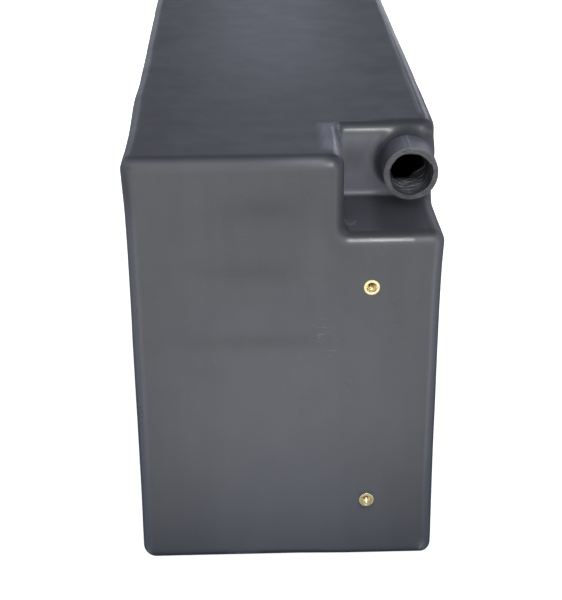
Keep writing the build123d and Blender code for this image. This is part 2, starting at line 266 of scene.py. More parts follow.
def ramp(value, low, high):
    """0 below low and 1 above high, smooth between."""
    t = np.clip((value - low) / (high - low), 0, 1)
    return t * t * (3 - 2 * t)


def waves(points, length, count, seed):
    """Smooth noise of about unit size: a sum of plane waves of about one wavelength."""
    rng = np.random.default_rng(seed)
    total = np.zeros(len(points))
    for _ in range(count):
        way = rng.normal(size=3)
        way /= np.linalg.norm(way)
        wavelength = length * rng.uniform(0.7, 1.5)
        total += np.sin(points @ way * 2 * np.pi / wavelength + rng.uniform(0, 2 * np.pi))
    return total / math.sqrt(count / 2)


def settling(points, normal):
    """How far the moulding has sunk or bulged outwards, as it does on cooling."""
    x, y, z = points.T
    behind = y - FRONT
    side = np.abs(normal[:, 0]) * ramp(np.abs(x), SIDE - 0.02, SIDE - 0.004)
    left = -0.0003 + 0.0020 * bump(z, TOP, 0.032) * bump(behind, 0, 0.05) + 0.0004 * bump(z, 0, 0.06)
    left += (
        (0.0009 * ramp(behind, 0.03, 0.10) + 0.0014 * bump(behind, 0.146, 0.032)) * bump(z, TOP, 0.07)
        - 0.0018 * bump(z, 0.5 * TOP, 0.12) * ramp(behind, 0.05, 0.16)
    )
    right = 0.0001 + 0.0012 * bump(z, RECESS_Z, 0.025) * bump(behind, 0, 0.05) + 0.0010 * bump(z, 0, 0.07)
    past_recess = 0.0014 * ramp(behind, RECESS_DEPTH, RECESS_DEPTH + 0.02)
    right += past_recess * (1 - ramp(behind, 0.15, 0.45)) * bump(z, TOP, 0.06)
    right += (
        0.0004 * ramp(behind, 0.03, 0.10) * bump(z, TOP, 0.07)
        - 0.0018 * bump(z, 0.45 * TOP, 0.12) * ramp(behind, 0.09, 0.2)
    )
    out = side * np.where(x < 0, left, right)
    quiet = np.ones(len(x))
    for *hole, _ in HOLES:
        apart = np.linalg.norm(points - np.array(hole), axis=1)
        quiet *= ramp(apart, 0.018, 0.04)
    panel = ramp(np.minimum(np.minimum(x + SIDE, SIDE - x), np.minimum(z, TOP - z)), 0.008, 0.05)
    front = ramp(-normal[:, 1], 0.9, 0.99) * ramp(FRONT + 0.003 - y, 0, 0.003)
    out += quiet * front * panel * (
        0.0008 * bump(x, 0, 0.07) * bump(z, 0.09, 0.07)
        - 0.0005 * bump(x, -0.018, 0.026) * bump(z, 0.282, 0.010)
        - 0.0005 * bump(x, -0.022, 0.030) * bump(z, 0.239, 0.009)
        - 0.0005 * bump(x, -0.016, 0.042) * bump(z, 0.184, 0.010)
    )
    flat = np.max(np.abs(normal), axis=1) ** 8
    out += quiet * flat * (0.00009 * waves(points, 0.07, 9, 3) + 0.00002 * waves(points, 0.022, 9, 4))
    top = ramp(normal[:, 2], 0.9, 0.99) * ramp(z, TOP - 0.004, TOP - 0.001)
    inside = ramp(np.minimum(np.minimum(x + SIDE, SIDE - x), np.minimum(behind, REAR - y)), 0.006, 0.08)
    out -= top * inside * 0.0016
    out += 0.00045 * bump(x, PARTING_X, 0.0007) * top * ramp(y, RECESS_Y + 0.010, RECESS_Y + 0.018)
    return out


def neck_marks(points):
    """The parting line along the spout's top."""
    x, y, z = points.T
    ridge = 0.0003 * bump(x, NECK_LINE_X, 0.0006)
    return ridge * ramp(z, SPOUT_Z + 0.012, SPOUT_Z + 0.016) * (y < NECK_END)


def bore_ripples(points):
    """The uneven skin inside the spout, which no mould touched."""
    x, y, z = points.T
    radius = np.hypot(x - SPOUT_X, z - SPOUT_Z)
    near = ramp(y, SPOUT_TIP + 0.002, SPOUT_TIP + 0.010) * ramp(0.030 - radius, 0, 0.010)
    near = near * ramp(RECESS_Y + 0.02 - y, 0, 0.01)
    drift = waves(points, 0.02, 7, 11)
    ragged = ramp(y, RECESS_Y - 0.022, RECESS_Y + 0.002) * waves(points, 0.013, 7, 12)
    return near * (0.0004 * np.sin(y * 1150 + 2.4 * drift) + 0.0009 * drift + 0.0010 * ragged)


def shell_grids():
    """The grids for the outer surface, fine at its edges and details, and for the water space."""
    edge = EDGE_R + 0.0015
    fine = 0.0016
    outer = (
        grid_lines(-SIDE - 0.004, SIDE + 0.004, [
            (-SIDE - 0.004, -SIDE + edge, fine), (RECESS_X - edge, RECESS_X + 0.006, fine),
            (SPOUT_X - SPOUT_R - 0.004, SPOUT_X - 0.003, fine), (SPOUT_X - 0.003, SPOUT_X + 0.0015, 0.0006),
            (SPOUT_X + 0.0015, PARTING_X - 0.002, fine), (PARTING_X - 0.002, PARTING_X + 0.002, 0.0006),
            (PARTING_X + 0.002, SIDE + 0.004, fine)], 0.010),
        grid_lines(FRONT - 0.004, REAR + 0.004, [
            (FRONT - 0.004, FRONT + edge, fine), (SPOUT_TIP - 0.004, SPOUT_TIP + 0.003, fine),
            (RECESS_Y - 0.009, RECESS_Y + edge, fine), (REAR - edge, REAR + 0.004, fine)], 0.012),
        grid_lines(-0.004, TOP + 0.004, [
            (-0.004, edge, fine), (0.17, RECESS_Z - edge, 0.0045), (RECESS_Z - edge, RECESS_Z + 0.006, fine),
            (SPOUT_Z - SPOUT_R - 0.003, TOP + 0.004, fine)], 0.010),
    )
    rough = 0.004
    inner = (
        grid_lines(-SIDE - 0.004, SIDE + 0.004, [
            (-SIDE, -SIDE + edge, rough), (RECESS_X - edge, RECESS_X, rough),
            (SPOUT_X - SPOUT_R, SIDE, 0.0018)], 0.02),
        grid_lines(FRONT - 0.004, REAR + 0.004, [
            (FRONT, FRONT + edge, rough), (SPOUT_TIP - 0.004, RECESS_Y + edge, 0.0018),
            (REAR - edge, REAR, rough)], 0.03),
        grid_lines(-0.004, TOP + 0.004, [
            (0, edge, rough), (RECESS_Z - edge, RECESS_Z, rough),
            (SPOUT_Z - SPOUT_R, TOP, 0.0018)], 0.02),
    )
    return outer, inner


def shell_mesh():
    """The shell as one closed surface: outside, water space, and the sawn ring that joins them."""
    loops, vertices, faces, base = [], [], [], 0
    for field, grid, sign in zip((outer_field, inner_field), shell_grids(), (1, -1)):
        points, quads, cells = surface_net(field, grid)
        points = settle(field, points)
        quads, loop = open_spout(points, quads, cells)
        normal = slope(field, points)
        normal /= np.linalg.norm(normal, axis=1)[:, None]
        if sign > 0:
            shift = settling(points, normal) + neck_marks(points)
        else:
            shift = bore_ripples(points)
        points = points + shift[:, None] * normal
        points, quads, loop = drop_unused(points, quads, loop)
        points[loop, 1] = SPOUT_TIP + LIP
        turn = np.arctan2(points[loop, 2] - SPOUT_Z, points[loop, 0] - SPOUT_X)
        uneven = 0.0003 * np.sin(3 * turn + 1) + 0.0002 * np.sin(7 * turn) + 0.00012 * np.sin(17 * turn)
        radius = SPOUT_R if sign > 0 else (BORE_R + uneven)[:, None]
        away = points[loop] - np.array([SPOUT_X, 0, SPOUT_Z])
        away[:, 1] = 0
        away /= np.linalg.norm(away, axis=1)[:, None]
        points[loop] = np.array([SPOUT_X, SPOUT_TIP + LIP, SPOUT_Z]) + away * radius
        rim = np.array([SPOUT_X, SPOUT_TIP, SPOUT_Z]) + away * (radius - sign * LIP)
        vertices += [points, rim]
        faces.append(quads[:, ::sign] + base)
        rim_loop = np.arange(len(loop)) + base + len(points)
        ring = np.stack([loop + base, np.roll(loop, -1) + base, np.roll(rim_loop, -1), rim_loop], 1)
        faces.append(ring[:, ::-sign])
        loops.append(rim_loop)
        base += len(points) + len(rim)
    vertices = np.concatenate(vertices)
    quads = np.concatenate(faces)
    ring = zip_loops(vertices, *loops)
    return vertices, quads.tolist() + ring.tolist()


# ---------------------------------------------------------------- mesh and piece helpers

def new_piece(name, vertices, faces, body, slot, material):
    """A mesh object that rides on a CAD body, with smooth faces and crisp edges."""
    mesh = bpy.data.meshes.new(name)
    mesh.from_pydata([tuple(v) for v in vertices], [], faces)
    mesh.validate()
    mesh.shade_smooth()
    mesh.set_sharp_from_angle(angle=SHARP_ANGLE)
    mesh.materials.append(material)
    piece = bpy.data.objects.new(name, mesh)
    bpy.context.scene.collection.objects.link(piece)
    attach(piece, body)
    return piece


# ---------------------------------------------------------------- materials

class Look:
    """A node material with short ways to add the patterns that the pieces share."""

    def __init__(self, name, colour, roughness, metallic=0.0):
        self.material = bpy.data.materials.new(name)
        self.material.use_nodes = True
        self.nodes, self.links = self.material.node_tree.nodes, self.material.node_tree.links
        self.shader = self.nodes["Principled BSDF"]
        self.shader.inputs["Base Color"].default_value = (*colour, 1)
        self.shader.inputs["Roughness"].default_value = roughness
        self.shader.inputs["Metallic"].default_value = metallic
        self.shader.inputs["IOR"].default_value = 1.5
        self.place = self.nodes.new("ShaderNodeTexCoord").outputs["Object"]
        self.normal = None

    def stretched(self, scale, turn=(0, 0, 0)):
        """The piece's own coordinates, scaled by different amounts along each axis."""
        node = self.nodes.new("ShaderNodeMapping")
        node.inputs["Scale"].default_value = scale
        node.inputs["Rotation"].default_value = turn
        self.links.new(self.place, node.inputs["Vector"])
        return node.outputs["Vector"]

    def noise(self, scale, detail, rough, place=None, warp=0.0):
        """Cloudy noise from 0 to 1, mostly near 0.5."""
        node = self.nodes.new("ShaderNodeTexNoise")
        node.inputs["Scale"].default_value = scale
        node.inputs["Detail"].default_value = detail
        node.inputs["Roughness"].default_value = rough
        node.inputs["Distortion"].default_value = warp
        self.links.new(place or self.place, node.inputs["Vector"])
        return node.outputs["Fac"]

    def dots(self, scale):
        """Distance to the nearest of many scattered points."""
        node = self.nodes.new("ShaderNodeTexVoronoi")
        node.inputs["Scale"].default_value = scale
        self.links.new(self.place, node.inputs["Vector"])
        return node.outputs["Distance"]

    def spread(self, value, low, high, out_low=0.0, out_high=1.0):
        """Maps low..high to out_low..out_high, smoothly and clamped."""
        node = self.nodes.new("ShaderNodeMapRange")
        node.interpolation_type = "SMOOTHSTEP"
        limits = {"From Min": low, "From Max": high, "To Min": out_low, "To Max": out_high}
        for name, number in limits.items():
            node.inputs[name].default_value = number
        self.links.new(value, node.inputs["Value"])
        return node.outputs["Result"]

    def maths(self, kind, a, b):
        """One step of arithmetic on two numbers or sockets."""
        node = self.nodes.new("ShaderNodeMath")
        node.operation = kind
        for socket, value in zip(node.inputs, (a, b)):
            if isinstance(value, (int, float)):
                socket.default_value = value
            else:
                self.links.new(value, socket)
        return node.outputs["Value"]

    def blend(self, share, first, second):
        """A colour between two others, each a colour or a socket."""
        node = self.nodes.new("ShaderNodeMix")
        node.data_type = "RGBA"
        self.links.new(share, node.inputs["Factor"])
        for socket, value in zip((node.inputs[6], node.inputs[7]), (first, second)):
            if isinstance(value, tuple):
                socket.default_value = (*value, 1)
            else:
                self.links.new(value, socket)
        return node.outputs[2]

    def value(self, name):
        """A number stored on the mesh."""
        node = self.nodes.new("ShaderNodeAttribute")
        node.attribute_name = name
        return node.outputs["Fac"]

    def raise_by(self, height, distance, strength=1.0):
        """Adds a bump of the given height in metres, on top of those before."""
        node = self.nodes.new("ShaderNodeBump")
        node.inputs["Strength"].default_value = strength
        node.inputs["Distance"].default_value = distance
        self.links.new(height, node.inputs["Height"])
        if self.normal is not None:
            self.links.new(self.normal, node.inputs["Normal"])
        self.normal = node.outputs["Normal"]

    def done(self, colour, roughness):
        """Joins the patterns to the shader and returns the finished material."""
        for name, socket in (("Base Color", colour), ("Roughness", roughness), ("Normal", self.normal)):
            self.links.new(socket, self.shader.inputs[name])
        return self.material


def tank_plastic():
    """Satin dark grey rotomoulded polyethylene, with faint mottling and scuffs, and painted sheen, highlights
    and shade.
    """
    look = Look("tank_plastic", (0.05, 0.052, 0.056), 0.5)
    gloss = look.value("gloss")
    cloud = look.spread(look.noise(22, 4, 0.55, warp=0.4), 0.3, 0.7)
    colour = look.blend(cloud, (0.0368, 0.0384, 0.0418), (0.0415, 0.0428, 0.0460))
    streak = look.spread(look.noise(60, 3, 0.6, look.stretched((1.0, 1.0, 0.22))), 0.35, 0.7)
    colour = look.blend(look.maths("MULTIPLY", streak, 0.25), colour, (0.064, 0.064, 0.066))
    # painted light: a pale bluish colour, as much as the stored value says, stands in for sheen, highlights
    # and shade
    colour = look.blend(look.value("painted_light"), colour, (0.168, 0.173, 0.205))
    # scratches: thin stretched cells that only show in patches
    patch = look.spread(look.noise(30, 3, 0.6), 0.55, 0.68)
    patch = look.maths("MAXIMUM", look.maths("MULTIPLY", patch, 0.3), look.value("scratched"))
    scratches = None
    for turn, scale in (((0.3, 0.9, 0.2), 130), ((-0.5, -0.6, 0.9), 160)):
        line = look.spread(look.noise(scale, 2, 0.6, look.stretched((1.0, 1.0, 9.0), turn)), 0.64, 0.71)
        scratches = line if scratches is None else look.maths("MAXIMUM", scratches, line)
    scratches = look.maths("MULTIPLY", scratches, patch)
    specks = look.spread(look.dots(420), 0.16, 0.10)
    specks = look.maths("MULTIPLY", specks, look.spread(look.noise(190, 2, 0.5), 0.60, 0.66))
    wear = look.maths("MAXIMUM", look.maths("MULTIPLY", scratches, 0.5), look.maths("MULTIPLY", specks, 0.45))
    grit = look.noise(700, 3, 0.6)
    # real scuffs, and a painted highlight on the spout's lip, in a pale colour
    scuffs_and_glints = look.maths("MULTIPLY", look.value("scuff_and_glint"), look.spread(grit, 0.35, 0.55, 0.1, 0.8))
    colour = look.blend(wear, colour, (0.21, 0.21, 0.22))
    colour = look.blend(scuffs_and_glints, colour, (0.30, 0.30, 0.31))
    teeth = look.noise(260, 3, 0.6, look.stretched((1.0, 1.0, 14.0), (0.0, 0.5, 0.0)))
    torn = look.maths("MULTIPLY", look.spread(teeth, 0.45, 0.62), look.value("sawn"))
    colour = look.blend(torn, colour, (0.13, 0.13, 0.136))
    rough = look.spread(look.noise(45, 4, 0.6), 0.25, 0.75, 0.50, 0.60)
    rough = look.maths("SUBTRACT", rough, look.maths("MULTIPLY", gloss, 0.24))
    rough = look.maths("ADD", rough, look.maths("MULTIPLY", wear, 0.15))
    look.raise_by(look.noise(900, 2, 0.5), 0.00006, 0.5)
    look.raise_by(look.noise(110, 2, 0.5), 0.00010, 0.5)
    look.raise_by(scratches, 0.00002, 0.4)
    look.raise_by(look.maths("MULTIPLY", teeth, look.value("sawn")), 0.0006, 1.0)
    rings = look.noise(90, 2, 0.5, look.stretched((1.0, 6.0, 1.0)))
    look.raise_by(look.maths("MULTIPLY", rings, look.value("bore")), 0.003, 1.0)
    return look.done(colour, rough)


def brass(name, tone, roughness):
    """Machined brass, a little dulled, with turning marks."""
    look = Look(name, tone, roughness, 1.0)
    stain = look.spread(look.noise(260, 4, 0.6), 0.35, 0.75)
    dull = tuple(0.72 * part for part in tone)
    colour = look.blend(stain, tone, dull)
    rough = look.spread(look.noise(420, 3, 0.6), 0.2, 0.8, roughness - 0.06, roughness + 0.16)
    look.raise_by(look.noise(1400, 2, 0.5), 0.00003, 0.5)
    return look.done(colour, rough)


def plain_look(name, colour, roughness, metallic=0.0, shift=0.18):
    """A surface with its own grain, mottling and uneven gloss."""
    look = Look(name, colour, roughness, metallic)
    cloud = look.spread(look.noise(70, 4, 0.6, warp=0.3), 0.3, 0.72)
    lighter = tuple(min(1.0, part * (1 + shift)) for part in colour)
    darker = tuple(part * (1 - shift) for part in colour)
    tone = look.blend(cloud, darker, lighter)
    marks = look.spread(look.noise(160, 2, 0.6, look.stretched((1.0, 9.0, 1.0), (0.4, 0.3, 0.8))), 0.66, 0.72)
    worn = tuple(min(1.0, 0.5 * part + 0.2) for part in colour)
    tone = look.blend(look.maths("MULTIPLY", marks, 0.25), tone, worn)
    rough = look.spread(look.noise(110, 4, 0.6), 0.25, 0.75, max(0.05, roughness - 0.07), roughness + 0.09)
    rough = look.maths("ADD", rough, look.maths("MULTIPLY", marks, 0.1))
    look.raise_by(look.noise(600, 3, 0.55), 0.00005, 0.6)
    return look.done(tone, rough)


# ---------------------------------------------------------------- build

def store(mesh, name, values):
    """Keeps one number for each vertex, for the material to read."""
    mesh.attributes.new(name, "FLOAT", "POINT").data.foreach_set("value", np.asarray(values, np.float32))


def drill(piece, holes):
    """Cuts round holes right through the shell's wall: (x, y, z, radius) with the axis along Y."""
    vertices, faces = [], []
    sides = 96
    for x, y, z, radius in holes:
        start = len(vertices)
        for end in (y - 0.006, y + 0.006):
            for k in range(sides):
                turn = 2 * math.pi * k / sides
                vertices.append((x + radius * math.cos(turn), end, z + radius * math.sin(turn)))
        faces.append([start + k for k in range(sides)])
        faces.append([start + 2 * sides - 1 - k for k in range(sides)])
        for k in range(sides):
            near, far = start + k, start + (k + 1) % sides
            faces.append([near, near + sides, far + sides, far])
    mesh = bpy.data.meshes.new("drill")
    mesh.from_pydata(vertices, [], faces)
    cutter = bpy.data.objects.new("drill", mesh)
    bpy.context.scene.collection.objects.link(cutter)
    modifier = piece.modifiers.new("holes", "BOOLEAN")
    modifier.operation = "DIFFERENCE"
    modifier.solver = "EXACT"
    modifier.object = cutter
    result = bpy.data.meshes.new_from_object(piece.evaluated_get(bpy.context.evaluated_depsgraph_get()))
    piece.modifiers.clear()
    old = piece.data
    result.name = old.name
    piece.data = result
    bpy.data.meshes.remove(old)
    bpy.data.objects.remove(cutter)
    bpy.data.meshes.remove(mesh)


def lathe(outline, centre, out, segments, closed=False):
    """Turns (radius, along) pairs about the axis that placed() describes."""
    vertices, faces = [], []
    for radius, along in outline:
        for k in range(segments):
            turn = 2 * math.pi * k / segments
            a, b = radius * math.cos(turn), radius * math.sin(turn)
            vertices.append(placed(centre, out, a, b, along))
    rows = len(outline)
    for row in range(rows - 1 + closed):
        for k in range(segments):
            here, there = row * segments, (row + 1) % rows * segments
            nxt = (k + 1) % segments
            faces.append((here + k, here + nxt, there + nxt, there + k))
    if not closed:
        faces.append(tuple(range(segments))[::-1])
        faces.append(tuple((rows - 1) * segments + k for k in range(segments)))
    return vertices, faces


def placed(centre, out, a, b, along):
    """A point beside the axis that leaves the centre along -Y (out is -1) or +Y (out is 1)."""
    x, y, z = centre
    return (x - out * a, y + out * along, z + b)


def threaded_insert(name, z):
    """A brass insert: rim, countersunk mouth and a real 1/4-20 thread, flush with the front wall."""
    pitch, minor, major, depth = 0.00127, 0.00258, 0.00315, 0.0125
    mouth_r = 0.0035
    segments, steps = 72, 8
    centre = (INSERT_X, FRONT, z)
    rim = [
        (0.0048, -0.0150), (0.0048, -0.0016), (0.0056, -0.0014), (0.0056, 0.00005),
        (0.0054, 0.00022), (0.00385, 0.00022), (0.00368, 0.00006), (0.00360, -0.0009),
    ]
    vertices, faces = lathe(rim, centre, -1, segments)
    # The cap over the mouth gives way to the thread.
    faces.pop()
    rows = len(rim)
    turns = int(depth / pitch)
    for step in range(turns * steps + 1):
        along = -0.0010 - step * pitch / steps
        fade = min(1.0, step / (0.7 * steps))
        for k in range(segments):
            turn = 2 * math.pi * k / segments
            phase = (step / steps - k / segments) % 1.0
            radius = minor + (major - minor) * min(1.0, 2.6 * abs(phase - 0.5))
            radius = radius * fade + mouth_r * (1 - fade)
            vertices.append(placed(centre, -1, radius * math.cos(turn), radius * math.sin(turn), along))
        here, there = (rows - 1) * segments, rows * segments
        for k in range(segments):
            nxt = (k + 1) % segments
            faces.append((here + k, here + nxt, there + nxt, there + k))
        rows += 1
    faces.append(tuple((rows - 1) * segments + k for k in range(segments)))
    piece = new_piece(name + "_brass", vertices, faces, "tank", "insert_brass", INSERT_BRASS)
    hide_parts(name)
    return piece


def weld_bead(name, node):
    """The smear of plastic that spin welding pushes out around a fitting's flange."""
    low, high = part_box(node)
    reach = (high.x - low.x) / 2
    centre = ((low.x + high.x) / 2, REAR, (low.z + high.z) / 2)
    outline = [
        (-0.0008, -0.0006), (0.0030, -0.0006), (0.0026, 0.0004), (0.0016, 0.0010),
        (0.0006, 0.0013), (-0.0004, 0.0010), (-0.0008, 0.0004),
    ]
    segments = 120
    outline = [(reach + wide, along) for wide, along in outline]
    vertices, faces = lathe(outline, centre, 1, segments, closed=True)
    uneven = []
    for k, (px, py, pz) in enumerate(vertices):
        turn = 2 * math.pi * (k % segments) / segments
        swell = 1 + 0.16 * math.sin(5 * turn + centre[0] * 90) + 0.10 * math.sin(13 * turn)
        swell += 0.06 * math.sin(29 * turn + 1)
        across, up = px - centre[0], pz - centre[2]
        size = math.hypot(across, up)
        part = (reach + (size - reach) * swell) / size
        uneven.append((centre[0] + across * part, REAR + (py - REAR) * swell, centre[2] + up * part))
    return new_piece(name, uneven, faces, "tank", "tank_plastic", PLASTIC)


def dress(material, *names):
    """Gives CAD nodes that stay as they are their material."""
    for name in names:
        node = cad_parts[name]
        node.data.materials.clear()
        node.data.materials.append(material)
        node.data.polygons.foreach_set("material_index", [0] * len(node.data.polygons))


def per_vertex(collection, name):
    """A vector for each vertex, as an array."""
    flat = np.empty(len(collection) * 3)
    collection.foreach_get(name, flat)
    return flat.reshape(-1, 3)


class Skin:
    """The shell's vertices, which way they face, and masks that pick out its parts."""

    def __init__(self, mesh):
        self.spots = per_vertex(mesh.vertices, "co")
        self.facing = per_vertex(mesh.vertex_normals, "vector")
        x, y, z = self.spots.T
        self.radius = np.hypot(x - SPOUT_X, z - SPOUT_Z)
        self.on_spout = (self.radius < SPOUT_R + 0.0005) & (y < NECK_END)
        self.sawn = (np.abs(y - SPOUT_TIP) < 0.0003) & (self.radius < SPOUT_R + 0.001)
        self.front = ramp(-self.facing[:, 1], 0.95, 0.99) * (y < FRONT + 0.003)
        self.front_top = ramp(z, TOP - 0.016, TOP - 0.005) * ramp(-y, -FRONT - 0.014, -FRONT - 0.011)
        self.front_top = self.front_top * ramp(-x, -RECESS_X + 0.006, -RECESS_X + 0.018)


def gloss_marks(skin):
    """How much smoother than the flat walls the plastic is: most on rounded edges and the spout."""
    x, y, z = skin.spots.T
    radius = skin.radius
    edge = 1 - ramp(np.max(np.abs(skin.facing), axis=1), 0.93, 0.995)
    shelf_end = ramp(x, 0.086, 0.089) * ramp(-z, -RECESS_Z - 0.002, -RECESS_Z)
    shelf_end = shelf_end * ramp(z, RECESS_Z - 0.014, RECESS_Z - 0.010)
    inner_corner = (y > RECESS_Y - 0.008) & (z < RECESS_Z + 0.008)
    left_wall = (x < RECESS_X + 0.002) & (x > RECESS_X - 0.001) & (y > FRONT + 0.012)
    hollow = inner_corner | left_wall
    gloss = edge * (1 - 0.7 * np.maximum(shelf_end, hollow) - 1.3 * skin.front_top)
    gloss = np.where(skin.on_spout, 0.6, gloss)
    return np.where((radius < BORE_R + 0.002) & (y < RECESS_Y + 0.01), 0.45, gloss)


def face_painted_light(skin):
    """Painted light and shade on the top and the filling end: paler towards the middle and back of the top
    and towards the bottom of the front, with lighter and darker patches.
    """
    x, y, z = skin.spots.T
    facing, front = skin.facing, skin.front
    rim = np.minimum(x + SIDE, SIDE - x)
    across = ramp(rim, 0.010, 0.095)
    top = ramp(facing[:, 2], 0.95, 0.99) * (z > TOP - 0.005)
    painted_light = 0.27 + top * (0.02 + across * (0.22 + 0.85 * ramp(y, FRONT + 0.03, FRONT + 0.32)))
    # painted light: the filling end paler towards its middle and its bottom
    painted_light += front * (
        across * (0.02 + 0.10 * ramp(-z, -0.24, -0.17) + 0.20 * ramp(-z, -0.11, -0.04))
        + 0.13 * ramp(-z, -0.08, -0.02)
    )
    # Painted shade in the three shallow level dents, which are sunk in the shell as well.
    painted_light -= front * (
        0.20 * bump(x, -0.018, 0.028) * bump(z, 0.282, 0.011)
        + 0.20 * bump(x, -0.022, 0.030) * bump(z, 0.238, 0.007)
        + 0.26 * bump(x, -0.016, 0.045) * bump(z, 0.184, 0.006)
    )
    # Painted sheen on the rounded edges up both sides of the filling end.
    side_on = np.abs(facing[:, 0])
    upright = 0.5 * (y < FRONT + 0.010) * ramp(side_on, 0.08, 0.35) * (1 - ramp(side_on, 0.72, 0.90))
    painted_light += upright * (np.abs(x) > SIDE - 0.012) * ramp(-z, -0.30, -0.26)
    # painted light: paler around mid-height of the filling end
    painted_light += front * (
        0.08 * across * bump(x, -0.01, 0.06) * bump(z, 0.105, 0.06)
        + 0.15 * ramp(rim, 0.006, 0.035) * bump(z, 0.125, 0.075)
    )
    # painted shade high on the filling end beside the recess
    painted_light -= 0.16 * front * bump(x, 0.025, 0.030) * ramp(z, 0.25, 0.29)
    # painted highlight along the front top edge, brightest towards the recess
    painted_light += (0.55 + 0.9 * ramp(x, -0.02, 0.02)) * skin.front_top * bump(facing[:, 2], 0.66, 0.2)
    # painted light: a paler upright strip high up, left of the recess
    painted_light += 0.07 * front * bump(x, 0.021, 0.010) * ramp(z, 0.20, 0.24)
    return painted_light


def recess_painted_light(skin, painted_light):
    """Adds painted light and shade in the recess and on the spout: a paler back wall, a painted highlight on
    the top edge of the recess's left wall, painted sheen on the spout's top, a darker bore, a paler shelf and
    a darker sawn end.
    """
    x, y, z = skin.spots.T
    facing, radius, on_spout, sawn = skin.facing, skin.radius, skin.on_spout, skin.sawn
    # painted light: the back wall paler, most low down and near its top edge, with faint upright mottling
    back_wall = ramp(-facing[:, 1], 0.4, 0.8) * (np.abs(y - RECESS_Y) < 0.004)
    back_wall = back_wall * (x > RECESS_X) * (z > RECESS_Z)
    back_wall *= ramp(radius, SPOUT_R + 0.004, SPOUT_R + 0.007) * ramp(-z, -TOP + 0.006, -TOP + 0.011)
    mottling = waves(skin.spots * np.array([1, 1, 0.3]), 0.009, 9, 21)
    painted_light += back_wall * (
        1.05 + 1.1 * ramp(-z, -0.295, -RECESS_Z - 0.004) + 0.4 * ramp(z, 0.298, 0.308) + 0.17 * mottling
    )
    # painted highlight along the top edge of the recess's left wall
    highlit_edge = ramp(x, RECESS_X - 0.016, RECESS_X - 0.011) * (x < RECESS_X + 0.001) * (z > TOP - 0.010)
    highlit_edge *= ramp(y, FRONT + 0.012, FRONT + 0.020) * ramp(-y, -RECESS_Y - 0.008, -RECESS_Y)
    painted_light += highlit_edge * (1.4 + 0.35 * np.sin(x * 1900 + y * 240))
    # painted sheen on the spout's upper side
    painted_light += on_spout * ~sawn * 1.25 * ramp(facing[:, 2], 0.4, 0.95)
    # painted shade inside the bore
    painted_light -= 0.24 * ~sawn * (radius < BORE_R + 0.002) * (y < RECESS_Y + 0.01)
    # painted light: the shelf paler, most on its left part
    shelf = ramp(facing[:, 2], 0.95, 0.99) * (np.abs(z - RECESS_Z) < 0.003) * (y < RECESS_Y)
    painted_light += shelf * (0.14 + 0.62 * ramp(-x, -0.070, -0.056))
    painted_light -= 0.10 * sawn
    return np.maximum(painted_light, 0)


def scratch_marks(skin):
    """The places on the filling end where scratches are thick."""
    x, _, z = skin.spots.T
    places = ((0.024, 0.193), (0.042, 0.148), (-0.026, 0.111), (0.030, 0.178))
    return skin.front * sum(bump(x, a, 0.008) * bump(z, b, 0.009) for a, b in places)


def scuff_and_glint_marks(skin):
    """A scuffed ring on the shelf, the spout's rubbed lines, a painted highlight along the lip of its sawn
    end, and scuffed spots low on the front.
    """
    x, y, z = skin.spots.T
    apart = np.hypot(x - RECESS_X - 0.0050, y - FRONT - 0.0215)
    scuff_and_glint = bump(apart, 0.003, 0.0014) * ramp(-z, -RECESS_Z - 0.002, -RECESS_Z - 0.001)
    neck_lines = bump(x, NECK_LINE_X, 0.0006) + 0.4 * bump(x, SPOUT_X - 0.004, 0.0012)
    scuff_and_glint += 1.5 * skin.on_spout * ~skin.sawn * (skin.facing[:, 2] > 0.75) * neck_lines
    # painted highlight: the lip of the sawn end is drawn paler
    on_ring = (skin.radius < SPOUT_R + 0.001) & (skin.radius > BORE_R - 0.001)
    lip = (np.abs(y - SPOUT_TIP - LIP) < 0.0002) & on_ring
    scuff_and_glint += 0.30 * lip
    # (x, z, half width, half height)
    places = (
        (-0.033, 0.004, 0.006, 0.003),
        (0.1015, 0.0075, 0.0022, 0.0045),
        (-0.104, 0.006, 0.002, 0.003),
        (0.012, 0.094, 0.004, 0.0015),
    )
    for a, b, wide, high in places:
        scuff_and_glint += 0.7 * (y < FRONT + 0.006) * bump(x, a, wide) * bump(z, b, high)
    return scuff_and_glint


def mark(mesh):
    """Stores the numbers that the plastic reads."""
    skin = Skin(mesh)
    in_bore = (skin.radius < BORE_R + 0.004) & (skin.spots[:, 1] < RECESS_Y + 0.012)
    store(mesh, "gloss", gloss_marks(skin))
    store(mesh, "sawn", skin.sawn)
    store(mesh, "bore", in_bore & ~skin.sawn)
    store(mesh, "scratched", scratch_marks(skin))
    # painted light and shade on the top, the filling end, the recess and the spout
    store(mesh, "painted_light", 0.5 * recess_painted_light(skin, face_painted_light(skin)))
    store(mesh, "scuff_and_glint", scuff_and_glint_marks(skin))


PLASTIC = tank_plastic()
INSERT_BRASS = brass("insert_brass", (0.83, 0.71, 0.42), 0.38)
shell = new_piece("tank_shell_moulding", *shell_mesh(), "tank", "tank_plastic", PLASTIC)
drill(shell, HOLES)
shell.data.set_sharp_from_angle(angle=SHARP_ANGLE)
mark(shell.data)
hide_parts("tank_shell")
for name, z in INSERT_HEIGHTS.items():
    threaded_insert(name, z)

for name, *_ in FITTINGS:
    weld_bead(name.replace("fitting", "weld_bead"), name)

